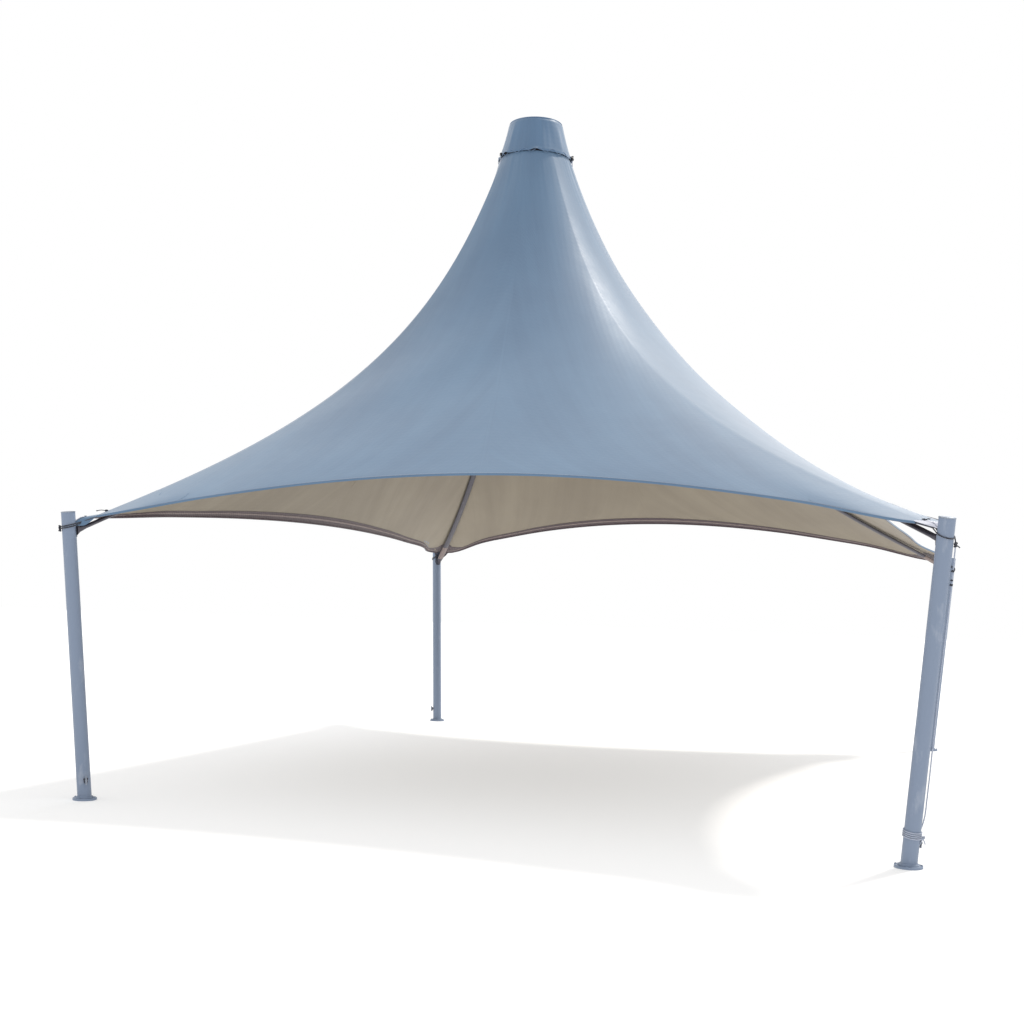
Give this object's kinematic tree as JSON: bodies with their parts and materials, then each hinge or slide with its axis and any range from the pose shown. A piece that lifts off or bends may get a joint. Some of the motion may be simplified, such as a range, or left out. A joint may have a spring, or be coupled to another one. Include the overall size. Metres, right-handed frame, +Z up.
{
  "type": "conical gazebo",
  "caption": "Oblong tensile canopy: a steep concave fabric cone on curved hip rafters, tied at its corners to outward-leaning tube posts with flanged feet, under a truncated cone hood.",
  "frame": {"origin": "on the ground, in the middle of the four posts", "axes": "+Z up; X and Y run along the sides of the oblong plan, with -Y to the front of the picture's view"},
  "size_m": [7.1501, 8.5561, 6.93],
  "materials": {
    "post_steel": "blue-grey powder coat on steel tube",
    "rafter_steel": "dark brown-grey paint on steel pipe",
    "galvanised_steel": "hot-dip galvanised",
    "canopy_fabric": "blue-grey coated fabric, beige-grey inside",
    "hood_fabric": "blue-grey coated fabric",
    "hem_webbing": "dark purple-brown webbing over cable",
    "dark_rope": "dark braided rope",
    "pale_rope": "pale grey braided rope"
  },
  "bodies": {
    "root": {"post_front_left": "post_steel", "post_front_right": "post_steel", "post_back_right": "post_steel", "post_back_left": "post_steel", "base_flange_front_left": "post_steel", "base_flange_front_right": "post_steel", "base_flange_back_right": "post_steel", "base_flange_back_left": "post_steel", "tie_cleat_front_left": "galvanised_steel", "tie_cleat_front_right": "galvanised_steel", "tie_cleat_back_right": "galvanised_steel", "tie_cleat_back_left": "galvanised_steel", "rafter_front_left": "rafter_steel", "rafter_front_right": "rafter_steel", "rafter_back_right": "rafter_steel", "rafter_back_left": "rafter_steel", "rafter_socket_front_left": "galvanised_steel", "rafter_socket_front_right": "galvanised_steel", "rafter_socket_back_right": "galvanised_steel", "rafter_socket_back_left": "galvanised_steel", "corner_plate_front_left": "galvanised_steel", "corner_plate_front_right": "galvanised_steel", "corner_plate_back_right": "galvanised_steel", "corner_plate_back_left": "galvanised_steel", "lashing_front_left": "dark_rope", "lashing_front_right": "dark_rope", "lashing_back_right": "dark_rope", "lashing_back_left": "dark_rope", "edge_cable_front": "hem_webbing", "edge_cable_right": "hem_webbing", "edge_cable_back": "hem_webbing", "edge_cable_left": "hem_webbing", "canopy_panel_right_back": "canopy_fabric", "canopy_panel_back_right": "canopy_fabric", "canopy_panel_back_left": "canopy_fabric", "canopy_panel_left_back": "canopy_fabric", "canopy_panel_left_front": "canopy_fabric", "canopy_panel_front_left": "canopy_fabric", "canopy_panel_front_right": "canopy_fabric", "canopy_panel_right_front": "canopy_fabric", "crown_frame": "rafter_steel", "hood": "hood_fabric", "hood_lacing": "pale_rope", "tie_rope_front_right": "pale_rope"}
  },
  "joints": []
}
